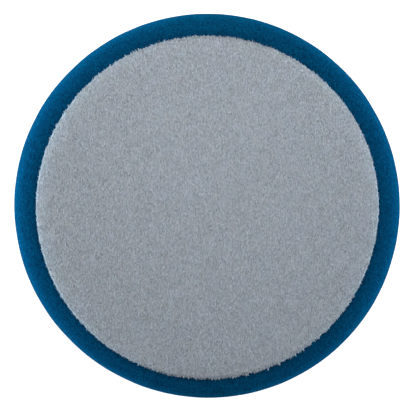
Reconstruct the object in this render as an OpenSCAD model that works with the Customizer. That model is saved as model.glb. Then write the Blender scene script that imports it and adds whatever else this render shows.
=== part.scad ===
// Foam polishing pad with a hook-and-loop back, for a car polisher.
// It lies on its working face with the loop side up. +Z is the pad's axis, and the origin is
// the centre of the working face. All lengths are in millimetres.

/* [Foam disc] */
// Outside diameter of the foam at its widest
pad_d = 140; // [90:1:200]
// Thickness of the foam
foam_h = 25; // [20:1:40]
// Radius that rounds the shoulder on the loop side
shoulder_r = 8; // [3:0.5:8]
// Radius that rounds the edge of the working face
face_edge_r = 6; // [1:0.5:8]

/* [Loop disc] */
// Width of the foam ring that the loop disc leaves bare
bare_ring_w = 8; // [8:0.5:14]
// Thickness of the hot-melt film that bonds the loop disc to the foam
film_h = 0.15; // [0.1:0.05:0.4]
// Distance that the hot-melt film stops short of the cloth's cut edge
film_setback = 0.5; // [0.2:0.1:2]
// Thickness of the coating that locks the loops' roots into the cloth
coat_h = 0.25; // [0.1:0.05:0.5]
// Thickness of the knitted ground cloth
knit_h = 0.5; // [0.3:0.1:1]
// Height of the brushed loops above the ground cloth
pile_h = 1.6; // [1:0.1:3]
// Width of the margin over which the loops are pressed down
pile_margin_w = 1.8; // [0.5:0.1:4]
// Drop of the loops across that margin
pile_margin_drop = 0.9; // [0.1:0.1:0.9]

/* [Hidden] */

pad_r = pad_d / 2;
loop_r = pad_r - bare_ring_w;

// Heights of the layers' undersides, from the foam up
film_z = foam_h;
coat_z = film_z + film_h;
knit_z = coat_z + coat_h;
pile_z = knit_z + knit_h;

foam_blue = [0.02, 0.29, 0.46];
film_amber = [0.86, 0.80, 0.66];
coat_white = [0.90, 0.86, 0.86];
knit_grey = [0.55, 0.60, 0.66];
pile_grey = [0.62, 0.66, 0.70];

$fn = 180;

// A flat round layer whose underside is at height z
module layer(radius, height, z) {
    translate([0, 0, z])
        cylinder(r = radius, h = height);
}

// Half of the foam's cross-section: a block whose two outer corners are rounded
module foam_half_section() {
    translate([0, face_edge_r])
        square([pad_r, foam_h - shoulder_r - face_edge_r]);
    square([pad_r - face_edge_r, foam_h - shoulder_r]);
    translate([0, face_edge_r])
        square([pad_r - shoulder_r, foam_h - face_edge_r]);
    translate([pad_r - shoulder_r, foam_h - shoulder_r])
        circle(r = shoulder_r);
    translate([pad_r - face_edge_r, face_edge_r])
        circle(r = face_edge_r);
}

// Half of the loops' cross-section: full height, then sloping down to the cut edge
module pile_half_section() {
    polygon([
        [0, 0],
        [loop_r, 0],
        [loop_r, pile_h - pile_margin_drop],
        [loop_r - pile_margin_w, pile_h],
        [0, pile_h],
    ]);
}

// The one piece of open-cell foam that holds the polish and works the paint
module foam_body() {
    color(foam_blue)
        rotate_extrude()
            foam_half_section();
}

// The hot-melt film between the foam and the loop disc
module adhesive_film() {
    color(film_amber)
        layer(loop_r - film_setback, film_h, film_z);
}

// The coating on the underside of the ground cloth, which shows as a pale line at its cut edge
module back_coat() {
    color(coat_white)
        layer(loop_r, coat_h, coat_z);
}

// The knitted cloth that the loops stand on
module knit_ground() {
    color(knit_grey)
        layer(loop_r, knit_h, knit_z);
}

// The brushed loops that the hooks of a backing plate grip
module loop_pile() {
    color(pile_grey)
        translate([0, 0, pile_z])
            rotate_extrude()
                pile_half_section();
}

foam_body();
adhesive_film();
back_coat();
knit_ground();
loop_pile();
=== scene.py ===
import math

import bpy
import numpy as np
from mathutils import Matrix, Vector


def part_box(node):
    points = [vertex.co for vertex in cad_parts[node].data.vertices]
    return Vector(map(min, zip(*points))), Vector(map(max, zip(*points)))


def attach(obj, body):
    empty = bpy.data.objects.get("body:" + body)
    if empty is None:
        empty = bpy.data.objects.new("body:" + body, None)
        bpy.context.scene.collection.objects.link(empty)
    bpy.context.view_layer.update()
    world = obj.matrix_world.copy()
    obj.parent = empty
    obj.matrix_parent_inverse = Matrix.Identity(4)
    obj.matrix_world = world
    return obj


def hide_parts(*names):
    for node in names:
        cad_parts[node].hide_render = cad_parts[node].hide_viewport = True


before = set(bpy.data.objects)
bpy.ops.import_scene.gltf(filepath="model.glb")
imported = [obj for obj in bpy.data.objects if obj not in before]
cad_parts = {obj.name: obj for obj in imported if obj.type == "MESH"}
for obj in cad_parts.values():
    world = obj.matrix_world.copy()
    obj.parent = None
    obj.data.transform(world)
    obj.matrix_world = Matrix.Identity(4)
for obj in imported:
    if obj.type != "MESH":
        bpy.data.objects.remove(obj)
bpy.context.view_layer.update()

MM = 0.001
BAKE_UV = "OFBake"        # the map that each piece's colours are laid out on

# ---------------------------------------------------------------- sizes, in millimetres


def box_mm(node):
    """The low and high corners of a node's box, in millimetres."""
    low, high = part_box(node)
    return np.array(low) / MM, np.array(high) / MM


foam_high = box_mm("foam_body")[1]
coat_low, coat_high = box_mm("back_coat")
knit_high = box_mm("knit_ground")[1]
pile_high = box_mm("loop_pile")[1]

PAD_R = foam_high[0]
FOAM_TOP = foam_high[2]
CLOTH_R = pile_high[0]
COAT_BOTTOM = coat_low[2]
COAT_TOP = coat_high[2]
KNIT_TOP = knit_high[2]
PILE_TOP = pile_high[2]

HIDDEN_GRAIN = 6.0        # distance between a mesh's points where nothing shows
FOAM_GRAIN = 0.57         # and where the foam shows
NAP_GRAIN = 0.46          # and on the matted roots of the loops
CLOTH_GRAIN = 0.4         # and round the ground cloth's cut edge and its coating's

SHOULDER_R = 8.0          # rounds the foam on the loop side
FACE_EDGE_R = 6.0         # rounds the edge of the working face
FOAM_WANDER = 0.03        # how far the cut foam strays from a true round
FOAM_OVAL = 0.13          # how far it is drawn out along one line, and pressed in across it
FOAM_OVAL_DEG = -19       # that line's angle from +X
FOAM_LOBES = 0.10         # and how far it bulges at three places, the first at FOAM_LOBES_DEG
FOAM_LOBES_DEG = 60
PORE_DEPTH = 0.26         # depth of the foam's largest open cells
OPEN_PORES = 0.22         # share of the foam's cells that are cut wide open
CELL_DEPTH = 0.05         # least depth of the others, and up to twice that
UNDER_CLOTH = 2.0         # width of the foam under the cloth that is meshed as finely as the ring

MARGIN_W = 5.0            # width over which the loops are pressed down
MARGIN_DROP = 0.5         # how far they are pressed down at the cut edge
MARGIN_PAINTED_SHADE = 1.1        # painted shade: how much darker they are made there
NAP_SINK = 0.5            # depth of the matted roots below the loops' tips
NAP_WAVES = 0.03          # size of the roots' soft relief
NAP_ROUGH = 0.05          # and of their fine relief

RIB_SPACING = 0.95        # distance between the knit's ribs
CLOTH_LOBES = 0.07        # how far the cloth bulges at three places, the first at CLOTH_LOBES_DEG
CLOTH_LOBES_DEG = 35
EDGE_WEAR = 0.08          # how far the cloth's cut edge is worn back where it is frayed
FRAY_LEAST = 0.3          # how badly it is frayed at its best, as a share of its worst
FRAYED_ARCS = ((130, 50, 0.6), (290, 40, 1.0))  # middle, half width in degrees, and how badly
TUFTS_PER_ARC = 5         # tufts that have pulled loose along each of them, at random
TUFT_LENGTHS = (0.8, 1.5)  # shortest and longest tuft where the fraying is worst
BUNCH_LENGTH = 0.35       # length of the yarn ends at a rib, to which fraying adds BUNCH_GROWTH
BUNCH_GROWTH = (0.1, 1.1)  # least and most
LOOSE_ENDS = 2200         # single yarn ends all round the cut edge
LOOSE_LENGTHS = (0.3, 0.8)
YARN_STATIONS = 7         # points along each yarn end
BUNCH_SPREAD = 0.06       # how far the ends in a bunch stand from its middle
YARN_RADII = (0.04, 0.065)
YARN_LIFT = 0.08          # least height of a yarn end's middle over the foam
LOOP_SPACING = 0.49       # distance between loops
LOOP_PIECES = 5           # they are kept as this many pieces
LOOP_STATIONS = 5         # points along each loop
LOOP_LENGTH = 1.05
LOOP_THICK = 0.155
LOOP_SCATTER_DEG = 16     # how far the loops stray from the knit's direction
LOOP_BEND = 0.1           # how far a loop's middle is bent to one side
LOOP_HEIGHTS = (0.3, 0.62)  # least and greatest rise of a loop over the matted roots
NAP_INSET = 0.24          # how far the matted roots stop short of the nominal cut edge
LOOP_INSET = 0.22         # and the loops
COAT_INSET = 0.04         # and the coating
CLOTH_INSET = 0.12        # and the ground cloth

# ---------------------------------------------------------------- tools for shapes


def line(start, end, step):
    """Points along a straight stretch of an outline, without its last point."""
    count = max(2, math.ceil(math.dist(start, end) / step))
    shares = np.arange(count)[:, None] / count
    return np.array(start) * (1 - shares) + np.array(end) * shares


def arc(centre, radius, first_deg, last_deg, step=0.2):
    """Points along an arc of an outline, without its last point."""
    count = max(4, math.ceil(radius * math.radians(abs(last_deg - first_deg)) / step))
    angles = np.radians(np.linspace(first_deg, last_deg, count + 1)[:-1])
    return np.array(centre) + radius * np.stack([np.cos(angles), np.sin(angles)], 1)


class Outline:
    """Half of a round piece's outline, as radius and height against the run along it. It goes
    from the middle of the top, over the edge, to the middle of the underside."""

    def __init__(self, *stretches, end):
        self.points = np.concatenate([*stretches, [end]])
        steps = np.linalg.norm(np.diff(self.points, axis=0), axis=1)
        self.runs = np.concatenate([[0.0], np.cumsum(steps)])
        self.length = self.runs[-1]

    def at(self, run):
        radius = np.interp(run, self.runs, self.points[:, 0])
        height = np.interp(run, self.runs, self.points[:, 1])
        return radius, height

    def outward(self, run, reach=0.25):
        """The outward normal's radius and height parts."""
        r1, z1 = self.at(np.clip(run - reach, 0, self.length))
        r2, z2 = self.at(np.clip(run + reach, 0, self.length))
        size = np.maximum(np.hypot(r2 - r1, z2 - z1), 1e-9)
        return -(z2 - z1) / size, (r2 - r1) / size


def zipper(a, b):
    """Triangles between two rings, each given as (first vertex, vertex count, turn)."""
    (first_a, count_a, turn_a), (first_b, count_b, turn_b) = a, b
    i, j = np.arange(count_a), np.arange(count_b)
    near_b = np.round((turn_a + (i + 0.5) / count_a - turn_b) * count_b).astype(int) % count_b
    near_a = np.round((turn_b + (j + 0.5) / count_b - turn_a) * count_a).astype(int) % count_a
    from_a = np.stack([first_a + i, first_b + near_b, first_a + (i + 1) % count_a], 1)
    from_b = np.stack([first_b + j, first_b + (j + 1) % count_b, first_a + near_a], 1)
    both = np.concatenate([from_a, from_b])
    flat = (both[:, 0] == both[:, 1]) | (both[:, 1] == both[:, 2]) | (both[:, 2] == both[:, 0])
    return both[~flat]


class Lattice:
    """Nearly even triangles over a round piece. bands are (run at the band's end, spacing)."""

    def __init__(self, outline, bands, jitter, seed):
        self.outline = outline
        rng = np.random.default_rng(seed)
        rows, start = [(0.0, bands[0][1])], 0.0
        for end, spacing in bands:
            count = max(1, round((end - start) / (spacing * 0.866)))
            rows += [(start + (end - start) * k / count, spacing) for k in range(1, count + 1)]
            start = end
        runs, angles, fine, rings, triangles = [], [], [], [], []
        first = 0
        for number, (run, spacing) in enumerate(rows):
            radius = float(outline.at(run)[0])
            pole = radius < 1e-6
            count = 1 if pole else max(6, round(2 * math.pi * radius / spacing))
            turn = 0.5 * (number % 2) / count + 1e-4 * number
            stray = 0.0 if pole or spacing > 1 else jitter * spacing
            around = rng.uniform(-stray, stray, count) / max(radius, spacing)
            along = rng.uniform(-stray, stray, count)
            angles.append(2 * math.pi * (turn + np.arange(count) / count) + around)
            runs.append(np.clip(run + along, 0, outline.length))
            fine.append(np.full(count, stray > 0))
            rings.append((first, count, turn))
            if number:
                triangles.append(zipper(rings[-2], rings[-1]))
            first += count
        self.runs = np.concatenate(runs)
        self.angles = np.concatenate(angles)
        self.fine = np.concatenate(fine)
        self.triangles = np.concatenate(triangles)

    def points(self, lift=0.0):
        """The vertices, moved out along the surface's normal by lift."""
        radius, height = self.outline.at(self.runs)
        out_r, out_z = self.outline.outward(self.runs)
        radius = radius + out_r * lift
        across = [radius * np.cos(self.angles), radius * np.sin(self.angles)]
        return np.stack([*across, height + out_z * lift], 1)

    def scattered(self, allowed, seed):
        """Picks vertices at random, as many as fit with no two of them neighbours."""
        count, t = len(self.runs), self.triangles
        rank = np.random.default_rng(seed).permutation(count)
        edges = np.concatenate([t[:, [0, 1]], t[:, [1, 2]], t[:, [2, 0]]])
        waiting, picked = allowed.copy(), np.zeros(count, bool)
        while waiting.any():
            best = np.full(count, -1)
            live = edges[waiting[edges].all(1)]
            np.maximum.at(best, live[:, 0], rank[live[:, 1]])
            np.maximum.at(best, live[:, 1], rank[live[:, 0]])
            new = waiting & (rank > best)
            picked |= new
            waiting &= ~new
            waiting[edges[new[edges].any(1)].ravel()] = False
        return picked


def waves(points, lengths, count, seed):
    """A smooth random field of about unit size, with a typical wave length along each axis."""
    rng = np.random.default_rng(seed)
    turns = rng.normal(size=(count, len(lengths))) / np.array(lengths)
    total = np.zeros(len(points))
    for turn, start in zip(turns, rng.random(count)):
        total += np.cos(2 * math.pi * (points @ turn + start))
    return total * math.sqrt(2 / count)


def smooth_step(value, low, high):
    share = np.clip((value - low) / (high - low), 0, 1)
    return share * share * (3 - 2 * share)


def tube_template(stations):
    """The triangles of one three-sided tube with pointed ends, and each corner's place on its
    own cell of a map. Its rings come first, then its start and its end."""
    rings = stations - 2
    start, end = 3 * rings, 3 * rings + 1
    last = 3 * (rings - 1)
    step = 1 / (stations - 1)
    faces, places = [], []
    for k in range(3):
        low, high = k / 3, (k + 1) / 3
        following = (k + 1) % 3
        faces.append([start, following, k])
        places.append([(0.0, low), (step, high), (step, low)])
        for ring in range(rings - 1):
            a, b = 3 * ring, 3 * ring + 3
            u1, u2 = (ring + 1) / (stations - 1), (ring + 2) / (stations - 1)
            faces.append([a + k, a + following, b + following])
            places.append([(u1, low), (u1, high), (u2, high)])
            faces.append([a + k, b + following, b + k])
            places.append([(u1, low), (u2, high), (u2, low)])
        faces.append([end, last + k, last + following])
        places.append([(1.0, low), (1 - step, low), (1 - step, high)])
    return np.array(faces), np.array(places)


def tubes(paths, radii):
    """Closed three-sided tubes with pointed ends. paths is (tubes, stations, 3), and radii is
    (tubes, stations). Returns the points, the triangles, each corner's place on a map, and the
    number of points in one tube."""
    many, stations, _ = paths.shape
    along = np.gradient(paths, axis=1)
    along /= np.linalg.norm(along, axis=2, keepdims=True) + 1e-9
    side = np.cross(along, [0.05, 0.02, 1.0])
    side /= np.linalg.norm(side, axis=2, keepdims=True) + 1e-9
    lift = np.cross(side, along)
    middle = slice(1, stations - 1)
    turns = np.radians([90.0, 210.0, 330.0])
    spread = np.cos(turns)[:, None] * side[:, middle, None]
    spread = spread + np.sin(turns)[:, None] * lift[:, middle, None]
    rings = paths[:, middle, None] + spread * radii[:, middle, None, None]
    points = np.concatenate([rings.reshape(many, -1, 3), paths[:, :1], paths[:, -1:]], 1)
    each = points.shape[1]
    faces, places = tube_template(stations)
    triangles = faces[None] + each * np.arange(many)[:, None, None]
    columns = math.ceil(math.sqrt(many))
    cell = np.stack([np.arange(many) % columns, np.arange(many) // columns], 1)
    uv = (cell[:, None, None] + 0.1 + 0.8 * places[None]) / columns
    return points.reshape(-1, 3), triangles.reshape(-1, 3), uv.reshape(-1, 2), each


def new_piece(name, points, triangles, material, uv=None, crisp_deg=None, **values):
    """Makes a smooth piece from points in millimetres. Edges that turn by more than crisp_deg
    are left crisp, and values are numbers kept at each vertex."""
    mesh = bpy.data.meshes.new(name)
    mesh.vertices.add(len(points))
    mesh.vertices.foreach_set("co", (points * MM).astype(np.float32).ravel())
    mesh.loops.add(triangles.size)
    mesh.loops.foreach_set("vertex_index", triangles.astype(np.int32).ravel())
    mesh.polygons.add(len(triangles))
    mesh.polygons.foreach_set("loop_start", np.arange(0, triangles.size, 3, dtype=np.int32))
    mesh.update(calc_edges=True)
    mesh.shade_smooth()
    if crisp_deg is not None:
        mesh.set_sharp_from_angle(angle=math.radians(crisp_deg))
    if uv is not None:
        mesh.uv_layers.new(name=BAKE_UV).data.foreach_set("uv", uv.astype(np.float32).ravel())
    for key, value in values.items():
        attribute = mesh.attributes.new(key, "FLOAT", "POINT")
        attribute.data.foreach_set("value", value.astype(np.float32))
    mesh.materials.append(material)
    piece = bpy.data.objects.new(name, mesh)
    bpy.context.scene.collection.objects.link(piece)
    return piece


def settle(piece, slot, *nodes):
    """Hides the nodes that a piece stands for, and hangs the piece under the pad. The slot is not used.
    """
    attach(piece, "root")
    if nodes:
        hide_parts(*nodes)


# ---------------------------------------------------------------- tools for materials


def srgb(red, green, blue):
    """A shader colour from the 0 to 255 values of a screen colour."""
    shares = [v / 255 for v in (red, green, blue)]
    return (*[v / 12.92 if v <= 0.04045 else ((v + 0.055) / 1.055) ** 2.4 for v in shares], 1.0)


class Look:
    """One material, with short calls that add its nodes and join them."""

    def __init__(self, name):
        self.material = bpy.data.materials.new(name)
        self.material.use_nodes = True
        self.tree = self.material.node_tree
        self.shader = next(n for n in self.tree.nodes if n.type == "BSDF_PRINCIPLED")
        self.place = self.node("TexCoord").outputs["Object"]

    def node(self, kind, inputs=(), **settings):
        made = self.tree.nodes.new("ShaderNode" + kind)
        for key, value in settings.items():
            setattr(made, key, value)
        for key, value in dict(inputs).items():
            self.feed(made.inputs[key], value)
        return made

    def feed(self, socket, value):
        if isinstance(value, bpy.types.NodeSocket):
            self.tree.links.new(value, socket)
        else:
            socket.default_value = value

    def set(self, **inputs):
        """Sets the shader's own sockets. An underscore in a name stands for a space."""
        for key, value in inputs.items():
            self.feed(self.shader.inputs[key.replace("_", " ")], value)

    def stretched(self, x, y, z):
        """The place on the piece, scaled along each axis."""
        return self.node("Mapping", {"Vector": self.place, "Scale": (x, y, z)}).outputs[0]

    def noise(self, size_mm, detail=2.0, roughness=0.5, place=None):
        """Soft noise, from 0 to 1, whose features are about size_mm across."""
        inputs = {"Vector": place or self.place, "Scale": 1 / (size_mm * MM),
                  "Detail": detail, "Roughness": roughness}
        return self.node("TexNoise", inputs).outputs[0]

    def cells(self, size_mm, feature="F1", place=None):
        """Distance from the middle of random cells of about size_mm."""
        inputs = {"Vector": place or self.place, "Scale": 1 / (size_mm * MM)}
        return self.node("TexVoronoi", inputs, feature=feature).outputs["Distance"]

    def stored(self, key):
        """A number kept at each vertex."""
        return self.node("Attribute", attribute_name=key).outputs["Fac"]

    def spread(self, value, from_low, from_high, to_low, to_high):
        inputs = {"Value": value, "From Min": from_low, "From Max": from_high,
                  "To Min": to_low, "To Max": to_high}
        return self.node("MapRange", inputs).outputs[0]

    def maths(self, operation, first, second):
        made = self.node("Math", operation=operation)
        self.feed(made.inputs[0], first)
        self.feed(made.inputs[1], second)
        return made.outputs[0]

    def mix(self, share, first, second, blend="MIX"):
        """Mixes two colours."""
        made = self.node("Mix", data_type="RGBA", blend_type=blend)
        self.feed(made.inputs[0], share)
        self.feed(made.inputs[6], first)
        self.feed(made.inputs[7], second)
        return made.outputs[2]

    def bump(self, height, depth_mm, strength=1.0, under=None):
        inputs = {"Height": height, "Distance": depth_mm * MM, "Strength": strength}
        if under is not None:
            inputs["Normal"] = under
        return self.node("Bump", inputs).outputs[0]


# ---------------------------------------------------------------- materials


def foam_look():
    """Open-cell foam: painted shade in the fine pores between paler struts and, darker, in a few larger
    pits; soft blotches; painted light on the rounded shoulder and at the ±Y ends of the ring.
    """
    look = Look("blue_foam")
    pores = look.spread(look.cells(0.42), 0.12, 0.55, 0.0, 1.0)
    grain = look.noise(0.8, 3.0, 0.6, look.stretched(1.5, 0.6, 1.0))
    blotch = look.noise(9.0, 2.0)
    strut = look.mix(blotch, srgb(3, 60, 92), srgb(3, 69, 102))
    # Painted shade: the fine pores' centres are painted dark; the same cells also drive the fine bump.
    colour = look.mix(pores, srgb(2, 21, 46), strut)
    colour = look.mix(look.spread(grain, 0.3, 0.7, 0.0, 0.65), colour, srgb(2, 24, 50))
    # Painted light: the foam is made paler at the ±Y ends of the ring, and as a painted sheen on the
    # outer shoulder.
    for key, paler in (("end_cut", (1.35, 1.38, 1.35, 1.0)), ("side_cut", (1.1, 1.43, 1.34, 1.0))):
        colour = look.mix(look.stored(key), colour, look.mix(1.0, colour, paler, "MULTIPLY"))
    # Painted shade: the deeper a modelled pit, the darker it is painted.
    colour = look.mix(look.spread(look.stored("pore"), 0.25, 1.0, 0.0, 0.9), colour, srgb(2, 12, 26))
    rough = look.spread(grain, 0.3, 0.7, 0.86, 0.97)
    fine = look.bump(pores, 0.10, 0.7)
    look.set(Base_Color=colour, Roughness=rough, Normal=look.bump(grain, 0.15, 0.5, fine),
             Sheen_Weight=0.2, Sheen_Roughness=0.5, Sheen_Tint=srgb(0, 130, 195),
             Specular_IOR_Level=0.0)
    return look.material


def loop_colour(look, value):
    """Cool grey, lighter or darker by value from 0 to 1, leaning pink or blue in soft patches."""
    grey = look.mix(value, srgb(107, 114, 120), srgb(195, 202, 210))
    pink = look.spread(look.noise(3.6, 1.0), 0.35, 0.65, 0.0, 1.0)
    shifted = look.node("Mapping", {"Vector": look.place, "Location": (0.3, 0.5, 0.0)}).outputs[0]
    blue = look.spread(look.noise(3.6, 1.0, place=shifted), 0.35, 0.65, 0.0, 1.0)
    grey = look.mix(pink, grey, look.mix(1.0, grey, (1.048, 1.0, 1.0, 1.0), "MULTIPLY"))
    return look.mix(blue, grey, look.mix(1.0, grey, (1.0, 1.0, 1.046, 1.0), "MULTIPLY"))


def loops_look():
    """Bundles of fine nylon filaments, each loop a little lighter or darker than the next."""
    look = Look("grey_loops")
    filaments = look.noise(0.05, 1.0, place=look.stretched(1.0, 0.12, 1.0))
    value = look.spread(look.stored("shade"), -2.0, 2.0, 0.15, 0.95)
    rough = look.spread(filaments, 0.3, 0.7, 0.6, 0.8)
    look.set(Base_Color=loop_colour(look, value), Roughness=rough,
             Normal=look.bump(filaments, 0.02, 0.5),
             Sheen_Weight=0.3, Sheen_Roughness=0.5, Sheen_Tint=srgb(215, 228, 240),
             Specular_IOR_Level=0.3)
    return look.material


def nap_look():
    """The matted roots between the loops: short strokes that run with the knit, with painted shade
    along the cut edge.
    """
    look = Look("grey_nap")
    strokes = look.noise(0.35, 2.0, 0.6, look.stretched(1.0, 0.4, 1.0))
    value = look.spread(strokes, 0.3, 0.7, 0.1, 0.8)
    # Painted shade: the nap is made darker along the cut edge.
    value = look.maths("SUBTRACT", value, look.maths("MULTIPLY", look.stored("margin"), 0.2))
    look.set(Base_Color=loop_colour(look, value), Roughness=look.spread(strokes, 0.3, 0.7, 0.8, 0.95),
             Normal=look.bump(strokes, 0.12, 0.6),
             Sheen_Weight=0.3, Sheen_Roughness=0.5, Sheen_Tint=srgb(215, 228, 240),
             Specular_IOR_Level=0.2)
    return look.material


def cloth_look():
    """The knitted ground cloth: ribs along the pad's Y axis, crossed by its courses."""
    look = Look("knit_cloth")
    ribs = look.node("TexWave", {"Vector": look.stretched(1.0, 0.0, 0.0), "Scale": 1 / (3.6 * MM),
                                 "Distortion": 0.6, "Detail": 1.0}).outputs["Fac"]
    yarn = look.noise(0.25, 2.0)
    colour = look.mix(ribs, srgb(118, 128, 138), srgb(160, 168, 178))
    colour = look.mix(look.spread(yarn, 0.3, 0.7, 0.0, 0.4), colour, srgb(186, 190, 198))
    look.set(Base_Color=colour, Roughness=look.spread(yarn, 0.3, 0.7, 0.75, 0.95),
             Normal=look.bump(ribs, 0.12, 0.6, look.bump(yarn, 0.05, 0.5)),
             Sheen_Weight=0.2, Specular_IOR_Level=0.3)
    return look.material


def coating_look():
    """The pale coating on the cloth's underside, a little uneven where it was cut."""
    look = Look("pale_coating")
    mottle = look.noise(1.4, 3.0)
    colour = look.mix(mottle, srgb(176, 166, 170), srgb(152, 148, 158))
    look.set(Base_Color=colour, Roughness=look.spread(mottle, 0.3, 0.7, 0.5, 0.75),
             Normal=look.bump(look.noise(0.4, 2.0), 0.04, 0.6), Specular_IOR_Level=0.4)
    return look.material


def hot_melt_look():
    """The amber hot-melt film, thicker and glossier in patches."""
    look = Look("hot_melt")
    patches = look.noise(3.0, 3.0)
    colour = look.mix(patches, srgb(206, 178, 120), srgb(232, 214, 168))
    look.set(Base_Color=colour, Roughness=look.spread(patches, 0.3, 0.7, 0.25, 0.5),
             Normal=look.bump(patches, 0.05, 0.6), Specular_IOR_Level=0.5)
    return look.material


# ---------------------------------------------------------------- the foam


def foam_outline():
    wall_top = FOAM_TOP - SHOULDER_R
    return Outline(
        line((0, FOAM_TOP), (PAD_R - SHOULDER_R, FOAM_TOP), 1.0),
        arc((PAD_R - SHOULDER_R, wall_top), SHOULDER_R, 90, 0),
        line((PAD_R, wall_top), (PAD_R, FACE_EDGE_R), 1.0),
        arc((PAD_R - FACE_EDGE_R, FACE_EDGE_R), FACE_EDGE_R, 0, -90),
        line((PAD_R - FACE_EDGE_R, 0), (0.5, 0), 1.0),
        end=(0, 0),
    )


def foam_map(lattice, points, wall_start, wall_end):
    """Corner places on the foam's map: the wall as two strips, with the faces as discs under it."""
    t = lattice.triangles
    strip = math.pi * PAD_R
    side = strip + 4
    row = wall_end - wall_start + 2
    run = lattice.runs[t]
    first = np.angle(np.exp(1j * lattice.angles[t]).mean(1)) >= 0
    centre = np.where(first, math.pi / 2, -math.pi / 2)[:, None]
    turn = np.angle(np.exp(1j * (lattice.angles[t] - centre)))
    across = turn * PAD_R + strip / 2 + 2
    up = run - wall_start + 1 + np.where(first, 0, row)[:, None]
    wall = np.stack([across, up], 2)
    under = points[t][:, :, :2] + [PAD_R, 2 * row + PAD_R]
    above = points[t][:, :, :2] * 0.6 + [2.7 * PAD_R, 2 * row + PAD_R]
    middle = run.mean(1)[:, None, None]
    uv = np.where(middle < wall_start, above, np.where(middle > wall_end, under, wall))
    return uv.reshape(-1, 2) / side


def make_foam(material):
    outline = foam_outline()
    hidden_to = CLOTH_R - UNDER_CLOTH
    bands = [(hidden_to - 4, HIDDEN_GRAIN), (hidden_to, 1.5), (outline.length, FOAM_GRAIN)]
    lattice = Lattice(outline, bands, jitter=0.28, seed=11)
    rng = np.random.default_rng(12)
    count = len(lattice.runs)
    pores = lattice.scattered(lattice.fine, 13)
    depth = np.where(pores, CELL_DEPTH + CELL_DEPTH * rng.random(count), 0.0)
    open_pores = pores & (rng.random(count) < OPEN_PORES)
    depth = np.where(open_pores, PORE_DEPTH * rng.uniform(0.45, 1.0, count), depth)
    flat = lattice.points()
    on_side = smooth_step(lattice.runs, CLOTH_R, CLOTH_R + 4) * smooth_step(flat[:, 2], 0.0, 5.0)
    wander = FOAM_WANDER * waves(flat, (30, 30, 30), 24, 14)
    wander += FOAM_OVAL * np.cos(2 * (lattice.angles - math.radians(FOAM_OVAL_DEG)))
    wander += FOAM_LOBES * np.cos(3 * (lattice.angles - math.radians(FOAM_LOBES_DEG)))
    points = lattice.points(wander * on_side - depth)
    points[:, 2] = np.maximum(points[:, 2], 0.0)
    wall_end = outline.length - (PAD_R - FACE_EDGE_R) - 0.5
    uv = foam_map(lattice, flat, hidden_to, wall_end)
    reach = np.hypot(flat[:, 0], flat[:, 1])
    # Painted light: masks for the paler foam at the ±Y ends of the ring and on the outer shoulder.
    end_cut = np.abs(np.sin(lattice.angles)) ** 12 * smooth_step(reach, CLOTH_R + 1, CLOTH_R + 3.5)
    side_cut = smooth_step(reach, PAD_R - 3.5, PAD_R - 0.3)
    piece = new_piece("foam_pad", points, lattice.triangles, material, uv,
                      pore=depth / PORE_DEPTH, end_cut=end_cut, side_cut=side_cut)
    settle(piece, "foam", "foam_body")


# ---------------------------------------------------------------- the loop disc


def fray(angles):
    """How badly the cloth's cut edge is frayed at angles round it: most along FRAYED_ARCS."""
    worst = np.zeros(len(angles))
    for middle, half_width, amount in FRAYED_ARCS:
        off = np.angle(np.exp(1j * (angles - math.radians(middle))))
        worst = np.maximum(worst, amount * np.exp(-(off / math.radians(half_width)) ** 2))
    return FRAY_LEAST + (1 - FRAY_LEAST) * worst


def edge_wander(angles):
    """How far the cloth's cut edge strays, in millimetres. It is worn back where it is frayed."""
    around = np.stack([np.cos(angles), np.sin(angles)], 1) * CLOTH_R
    frayed = fray(angles)
    lobes = CLOTH_LOBES * np.cos(3 * (angles - math.radians(CLOTH_LOBES_DEG)))
    return lobes + waves(around, (3.0, 3.0), 24, 21) * (0.03 + 0.05 * frayed) - EDGE_WEAR * frayed


def disc_map(lattice, points, edge_run):
    """Corner places on a thin disc's map: its top fills the map, its underside is in a corner."""
    t = lattice.triangles
    top = points[t][:, :, :2] / (2.04 * CLOTH_R) + 0.5
    under = points[t][:, :, :2] / (40 * CLOTH_R) + 0.03
    hidden = lattice.runs[t].mean(1)[:, None, None] > edge_run
    return np.where(hidden, under, top).reshape(-1, 2)


def thin_disc(name, material, low, high, inset, seed):
    """A thin round layer whose cut edge stops short of the nominal radius by inset."""
    radius = CLOTH_R - inset
    outline = Outline(
        line((0, high), (radius - 0.1, high), 0.5),
        line((radius - 0.1, high), (radius, high - 0.1), 0.05),
        line((radius, high - 0.1), (radius, low), 0.1),
        line((radius, low), (0.5, low), 1.0),
        end=(0, low),
    )
    edge_run = radius + high - low
    bands = [(radius - 3, 3.0), (edge_run, CLOTH_GRAIN), (outline.length, HIDDEN_GRAIN)]
    lattice = Lattice(outline, bands, jitter=0.05, seed=seed)
    points = lattice.points()
    reach = np.hypot(points[:, 0], points[:, 1])
    share = smooth_step(reach, CLOTH_R - 3, CLOTH_R)
    points[:, :2] *= (1 + edge_wander(lattice.angles) * share / CLOTH_R)[:, None]
    uv = disc_map(lattice, points, edge_run)
    return new_piece(name, points, lattice.triangles, material, uv, crisp_deg=40)


def nap_height(radius, sink):
    """Height of the loops' tips, less sink, at a distance from the middle."""
    pressed = MARGIN_DROP * smooth_step(radius, CLOTH_R - MARGIN_W, CLOTH_R + 0.3)
    return PILE_TOP - pressed - sink


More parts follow.
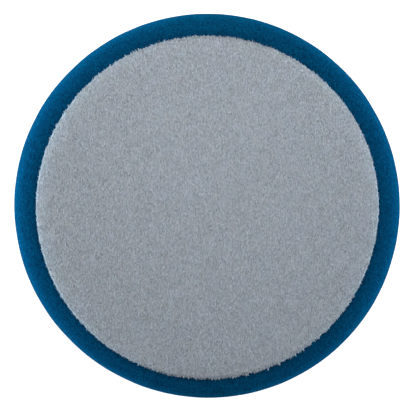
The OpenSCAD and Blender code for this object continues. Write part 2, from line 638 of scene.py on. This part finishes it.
def make_nap(material):
    radius = CLOTH_R - NAP_INSET
    rim = nap_height(radius, NAP_SINK)
    outline = Outline(
        line((0, rim), (radius, rim), 0.5),
        line((radius, rim), (radius, KNIT_TOP - 0.05), 0.1),
        line((radius, KNIT_TOP - 0.05), (0.5, KNIT_TOP - 0.05), 1.0),
        end=(0, KNIT_TOP - 0.05),
    )
    edge_run = radius + rim - KNIT_TOP
    bands = [(edge_run, NAP_GRAIN), (outline.length, HIDDEN_GRAIN)]
    lattice = Lattice(outline, bands, jitter=0.3, seed=31)
    points = lattice.points()
    reach = np.hypot(points[:, 0], points[:, 1])
    on_top = lattice.runs < radius - 0.05
    relief = NAP_WAVES * waves(points[:, :2], (1.0, 2.0), 40, 32)
    relief += np.random.default_rng(33).uniform(-NAP_ROUGH, NAP_ROUGH, len(points))
    raised = nap_height(reach, NAP_SINK) + relief * (1 - smooth_step(reach, radius - 1, radius))
    points[:, 2] = np.where(on_top, raised, points[:, 2])
    points[:, :2] *= (1 + edge_wander(lattice.angles) * (reach > CLOTH_R - 2) / CLOTH_R)[:, None]
    uv = disc_map(lattice, points, edge_run)
    # Mask for the painted shade along the cut edge.
    margin = smooth_step(reach, CLOTH_R - 1.3, CLOTH_R - 0.6)
    piece = new_piece("loop_nap", points, lattice.triangles, material, uv, crisp_deg=60, margin=margin)
    settle(piece, "loops", "loop_pile")
    return piece


def lean(points, rng, scatter_deg):
    """The way each loop lies, in radians: along the ribs, and fanned out at the margin."""
    reach = np.hypot(points[:, 0], points[:, 1])
    drift = 0.04 * waves(points, (7.0, 7.0), 24, 41)
    scatter = rng.normal(0, math.radians(scatter_deg), len(points))
    along = np.stack([-np.sin(drift + scatter), np.cos(drift + scatter)], 1)
    along *= np.where(rng.random(len(points)) < 0.5, -1, 1)[:, None]
    outward = points / np.maximum(reach, 1e-6)[:, None]
    fan = smooth_step(reach, CLOTH_R - 2.5, CLOTH_R)[:, None]
    mixed = along * (1 - 0.6 * fan) + outward * 0.9 * fan
    return np.arctan2(mixed[:, 1], mixed[:, 0])


def loop_middles(rng):
    """Places for the loops: an even grid, each strayed by up to half of its spacing."""
    half = math.ceil(CLOTH_R / LOOP_SPACING)
    rows, columns = np.mgrid[-half:half + 1, -half:half + 1]
    grid = np.stack([rows.ravel(), columns.ravel()], 1) * LOOP_SPACING
    grid += rng.uniform(-0.5, 0.5, grid.shape) * LOOP_SPACING
    return grid[np.hypot(grid[:, 0], grid[:, 1]) < CLOTH_R - 0.5]


def loop_paths(middle, rng):
    """Low arches over the nap, each bent a little to one side."""
    count = len(middle)
    way = lean(middle, rng, LOOP_SCATTER_DEG)
    ahead = np.stack([np.cos(way), np.sin(way)], 1)
    aside = np.stack([-np.sin(way), np.cos(way)], 1)
    length = LOOP_LENGTH * rng.uniform(0.65, 1.35, count)
    bend = rng.normal(0, LOOP_BEND, count)
    pressed = smooth_step(np.hypot(middle[:, 0], middle[:, 1]), CLOTH_R - 2.5, CLOTH_R - 0.5)
    height = rng.uniform(*LOOP_HEIGHTS, count) * (1 - 0.35 * pressed)
    share = np.linspace(0, 1, LOOP_STATIONS)
    along = (share - 0.5) * length[:, None]
    across = bend[:, None] * 4 * share * (1 - share)
    spots = middle[:, None] + ahead[:, None] * along[..., None] + aside[:, None] * across[..., None]
    over = np.hypot(spots[..., 0], spots[..., 1])
    edge = CLOTH_R - LOOP_INSET + edge_wander(np.arctan2(middle[:, 1], middle[:, 0]))
    spots *= np.minimum(1, edge[:, None] / over)[..., None]
    arch = height[:, None] * np.sin(math.pi * share) ** 0.7 - 0.15
    heights = nap_height(over, NAP_SINK) + arch
    return np.concatenate([spots, heights[..., None]], 2)


def make_loops(material):
    rng = np.random.default_rng(50)
    middles = rng.permutation(loop_middles(rng))
    pieces = []
    for number in range(LOOP_PIECES):
        paths = loop_paths(middles[number::LOOP_PIECES], rng)
        count, stations = paths.shape[:2]
        thick = LOOP_THICK / 2 * rng.uniform(0.75, 1.25, count)
        radii = np.repeat(thick[:, None], stations, 1)
        points, triangles, uv, each = tubes(paths, radii)
        shade = rng.normal(size=count) + 0.35 * waves(paths[:, 2, :2], (2.5, 5.0), 40, 51)
        shade += 0.25 * np.cos(2 * math.pi * paths[:, 2, 0] / RIB_SPACING)
        reach = np.hypot(paths[:, 2, 0], paths[:, 2, 1])
        # Painted shade: the loops at the cut edge are made darker.
        shade -= MARGIN_PAINTED_SHADE * smooth_step(reach, CLOTH_R - 1.4, CLOTH_R - 0.6)
        shade = np.repeat(shade, each)
        piece = new_piece(f"loops_{number + 1}", points, triangles, material, uv, shade=shade)
        settle(piece, "loops")
        pieces.append(piece)
    return pieces


def bunches(rng):
    """Angle and length of each bunch of yarn ends at the cut edge: one at every rib of the knit
    that the cut crosses, and the tufts."""
    ribs = np.arange(-CLOTH_R + 1, CLOTH_R - 1, RIB_SPACING)
    middles, reaches = [], []
    for side in (1, -1):
        middle = side * np.arccos((ribs + rng.uniform(-0.3, 0.3, len(ribs))) / CLOTH_R)
        middles.append(middle)
        reaches.append(BUNCH_LENGTH + rng.uniform(*BUNCH_GROWTH, len(ribs)) * fray(middle))
    for middle, half_width, amount in FRAYED_ARCS:
        middles.append(np.radians(middle + half_width * rng.uniform(-0.8, 0.8, TUFTS_PER_ARC)))
        reaches.append(amount * rng.uniform(*TUFT_LENGTHS, TUFTS_PER_ARC))
    return np.concatenate(middles), np.concatenate(reaches)


def fuzz_starts(rng):
    """Angle, length and paleness of each yarn end that sticks out of the cut edge: a few ends
    everywhere, and the bunches."""
    angle = rng.uniform(0, 2 * math.pi, LOOSE_ENDS)
    length = rng.uniform(*LOOSE_LENGTHS, LOOSE_ENDS)
    length += rng.exponential(0.15, LOOSE_ENDS) * np.abs(np.sin(angle))
    pale = rng.normal(0.0, 0.6, LOOSE_ENDS)
    middle, reach = bunches(rng)
    count = 2 + (reach * 4).astype(int)
    spread = rng.normal(0, BUNCH_SPREAD / CLOTH_R, count.sum())
    angle = np.concatenate([angle, np.repeat(middle, count) + spread])
    length = np.concatenate([length, np.repeat(reach, count) * rng.uniform(0.6, 1.3, count.sum())])
    pale = np.concatenate([pale, np.repeat(reach - 0.3, count)])
    return angle, length, pale


def make_fuzz(material):
    rng = np.random.default_rng(61)
    angle, length, pale = fuzz_starts(rng)
    count = len(angle)
    share = np.linspace(0, 1, YARN_STATIONS)
    along_ribs = np.sign(np.sin(angle)) * np.abs(np.sin(angle)) ** 0.3
    outward = np.arctan2(np.sin(angle) + 1.6 * along_ribs, np.cos(angle))
    curl = rng.normal(0, 0.4, count)
    way = outward[:, None] + rng.normal(0, 0.3, count)[:, None] + curl[:, None] * share * 2
    step = length[:, None] / (YARN_STATIONS - 1)
    ahead_x = np.cumsum(np.cos(way) * step, 1) - np.cos(way) * step
    ahead_y = np.cumsum(np.sin(way) * step, 1) - np.sin(way) * step
    start = CLOTH_R - 0.4 + edge_wander(angle)
    x = (start * np.cos(angle))[:, None] + ahead_x
    y = (start * np.sin(angle))[:, None] + ahead_y
    base = rng.uniform(KNIT_TOP - 0.1, KNIT_TOP + 0.6, count)
    rise = rng.normal(0.0, 0.35, count)
    z = base[:, None] + rise[:, None] * length[:, None] * share - 0.35 * length[:, None] * share ** 2
    reach = np.hypot(x, y)
    past_shoulder = np.maximum(reach - PAD_R + SHOULDER_R, 0)
    z = np.maximum(z, FOAM_TOP + YARN_LIFT - past_shoulder ** 2 / (2 * SHOULDER_R))
    paths = np.stack([x, y, z], 2)
    radii = np.repeat(rng.uniform(*YARN_RADII, count)[:, None], len(share), 1)
    points, triangles, uv, each = tubes(paths, radii)
    shade = np.repeat(pale, each)
    piece = new_piece("edge_fuzz", points, triangles, material, uv, shade=shade)
    settle(piece, "loops")
    return piece


# ---------------------------------------------------------------- stage, light and camera

PAD_SHARE = 0.927         # the pad's width as a share of the picture's width
CAMERA_FAR = 1500.0
CAMERA_LEAN = (0.3, 3.0)  # degrees that the camera leans off the pad's axis, towards -X and +Y
AIM = (0.25, 0.63)        # what the picture is centred on, off the pad's axis
FLOOR_HALF = 6000.0       # half of the floor's width
FLOOR_DROP = 0.02         # gap that keeps the floor clear of the working face
ROOM_STRENGTH = 0.20

# Soft lights: name, place in metres, size in metres, watts, colour
LIGHTS = (
    ("overhead_warm", (-0.06, 0.09, 0.28), (0.15, 0.15), 0.435, (1.0, 0.955, 0.89)),
    ("overhead_cool", (0.08, 0.09, 0.28), (0.15, 0.15), 0.39, (0.92, 0.975, 0.985)),
    ("left", (-1.3, 0.06, 0.11), (0.6, 0.2), 37, (0.58, 0.87, 1.0)),
    ("right", (1.3, 0.0, 0.11), (0.6, 0.2), 25.5, (0.62, 0.88, 1.0)),
)


def add_camera():
    data = bpy.data.cameras.new("camera")
    data.sensor_width = 36.0
    data.lens = data.sensor_width * CAMERA_FAR * PAD_SHARE / (2 * PAD_R)
    data.clip_end = 20.0
    camera = bpy.data.objects.new("camera", data)
    left, up = (math.tan(math.radians(degrees)) for degrees in CAMERA_LEAN)
    aim = np.array([*AIM, FOAM_TOP - SHOULDER_R])
    camera.location = (aim + CAMERA_FAR * np.array([-left, up, 1])) * MM
    camera.rotation_euler = (-math.atan(up), -math.atan(left), 0)
    bpy.context.scene.collection.objects.link(camera)
    bpy.context.scene.camera = camera


def add_light(name, place, size, watts, colour):
    """A soft rectangular light that faces the pad. place and size are in metres."""
    data = bpy.data.lights.new(name, "AREA")
    data.shape = "RECTANGLE"
    data.size, data.size_y = size
    data.energy = watts
    data.color = colour
    light = bpy.data.objects.new(name, data)
    light.location = place
    ahead = -light.location
    light.rotation_euler = ahead.to_track_quat("-Z", "Y").to_euler()
    bpy.context.scene.collection.objects.link(light)


def add_floor():
    look = Look("pale_floor")
    seen = look.node("LightPath").outputs["Is Camera Ray"]
    look.set(Base_Color=look.mix(look.noise(400.0), (0.6, 0.6, 0.6, 1), (0.63, 0.63, 0.63, 1)),
             Roughness=0.7, Emission_Color=(1, 1, 1, 1),
             Emission_Strength=look.spread(seen, 0.0, 1.0, 0.5, 0.95))
    half = FLOOR_HALF
    low = -FLOOR_DROP
    corners = np.array([(-half, -half, low), (half, -half, low), (half, half, low), (-half, half, low)])
    floor = new_piece("floor", corners, np.array([(0, 1, 2), (0, 2, 3)]), look.material)


def add_world():
    """A dim white room for light, behind a white backdrop."""
    world = bpy.data.worlds.new("room")
    world.use_nodes = True
    tree = world.node_tree
    room = tree.nodes["Background"]
    room.inputs["Strength"].default_value = ROOM_STRENGTH
    backdrop = tree.nodes.new("ShaderNodeBackground")
    backdrop.inputs["Color"].default_value = (1, 1, 1, 1)
    room.inputs["Color"].default_value = (1, 1, 1, 1)
    ray = tree.nodes.new("ShaderNodeLightPath")
    choose = tree.nodes.new("ShaderNodeMixShader")
    tree.links.new(ray.outputs["Is Camera Ray"], choose.inputs[0])
    tree.links.new(room.outputs[0], choose.inputs[1])
    tree.links.new(backdrop.outputs[0], choose.inputs[2])
    tree.links.new(choose.outputs[0], tree.nodes["World Output"].inputs["Surface"])
    bpy.context.scene.world = world


add_camera()
add_world()
add_floor()
for light in LIGHTS:
    add_light(*light)
bpy.context.scene.view_settings.view_transform = "Standard"

# ---------------------------------------------------------------- the pad

make_foam(foam_look())

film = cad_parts["adhesive_film"]
film.data.materials.clear()
film.data.materials.append(hot_melt_look())

coating = thin_disc("cloth_coating", coating_look(), COAT_BOTTOM, COAT_TOP, COAT_INSET, 71)
settle(coating, "back_coating", "back_coat")

cloth = thin_disc("ground_cloth", cloth_look(), COAT_TOP, KNIT_TOP, CLOTH_INSET, 72)
settle(cloth, "ground_cloth", "knit_ground")

loops_material = loops_look()
nap = make_nap(nap_look())
loops = make_loops(loops_material)
fuzz = make_fuzz(loops_material)
